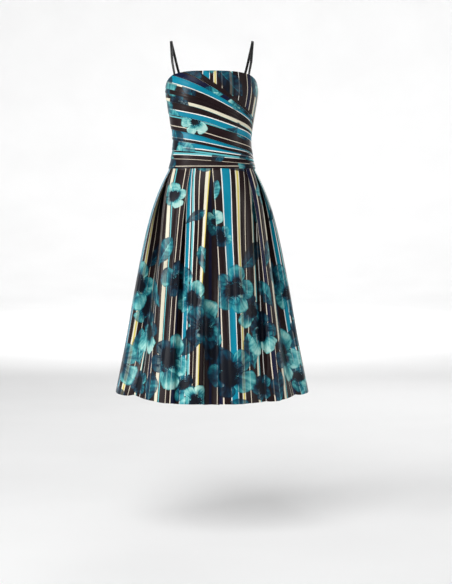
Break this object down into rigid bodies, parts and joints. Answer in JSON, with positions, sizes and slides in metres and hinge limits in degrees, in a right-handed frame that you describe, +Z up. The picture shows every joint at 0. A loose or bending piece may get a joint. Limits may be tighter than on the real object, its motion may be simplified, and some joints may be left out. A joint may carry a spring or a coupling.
{
  "type": "bustier dress",
  "caption": "Sleeveless dress as worn: draped bodice with a straight neckline, two thin straps, a waist seam and a flared skirt in deep pleats to mid calf",
  "frame": {"origin": "midway between the crests of the two straps, where they lie on the shoulders", "axes": "+Z up, the dress's front faces -Y, the wearer's left is +X"},
  "size_m": [0.5962, 0.434, 1.0905],
  "materials": {
    "print_cloth": "satin, brown ground with stripes and flowers",
    "drape_cloth": "satin, the same print laid across",
    "ribbon": "satin ribbon",
    "tape": "matte woven tape",
    "enamel": "gloss enamel"
  },
  "bodies": {
    "dress": {"bodice_front": "print_cloth", "bodice_drape": "drape_cloth", "bodice_back_left": "print_cloth", "bodice_back_right": "print_cloth", "skirt_front": "print_cloth", "skirt_back_left": "print_cloth", "skirt_back_right": "print_cloth", "strap_left": "ribbon", "strap_right": "ribbon", "zip_tape": "tape", "zip_slider": "enamel"},
    "pull": {"zip_pull": "enamel"}
  },
  "joints": [
    {"name": "pull_hinge", "type": "hinge", "parent": "dress", "child": "pull", "pos_m": [0, 0.09906, -0.16587], "axis": [1, 0, 0], "range_deg": [0, 140]}
  ]
}
